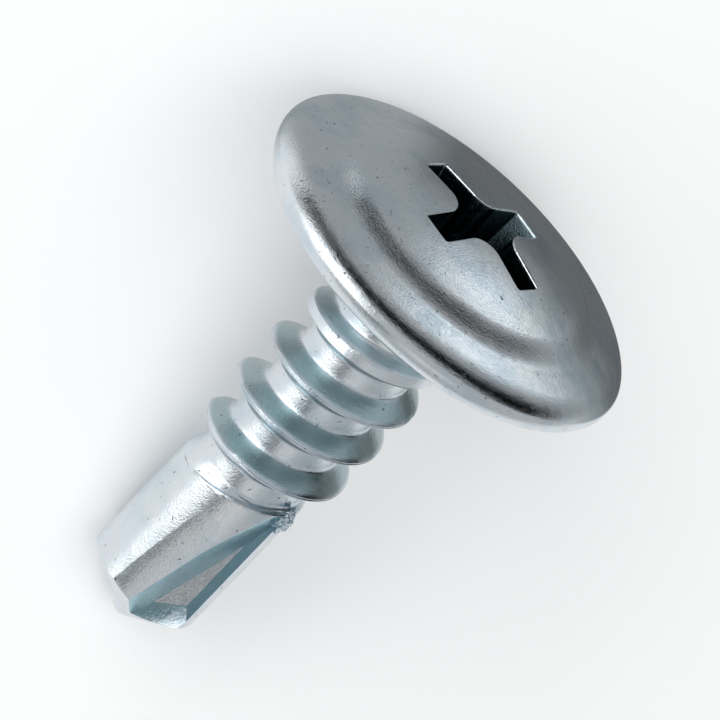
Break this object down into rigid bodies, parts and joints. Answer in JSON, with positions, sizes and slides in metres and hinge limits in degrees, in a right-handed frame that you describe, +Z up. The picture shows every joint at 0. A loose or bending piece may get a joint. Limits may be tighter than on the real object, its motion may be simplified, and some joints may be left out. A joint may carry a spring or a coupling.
{
  "type": "self drilling screw",
  "caption": "Short self drilling screw with a wide wafer head, cross recess, coarse rolled thread and a two-flute forged drill point, lying on its head's edge and its point.",
  "frame": {"origin": "on the surface that the screw lies on, beneath the middle of its bounding box", "axes": "+Z up from that surface; +X along the screw as it lies, towards the head, whose axis rises about 19 degrees from the surface in the XZ plane; +Y across it"},
  "size_m": [0.0148, 0.011, 0.0105],
  "materials": {
    "zinc_plate": "bright blue-clear zinc plate on forged steel"
  },
  "bodies": {
    "root": {"screw": "zinc_plate"}
  },
  "joints": []
}
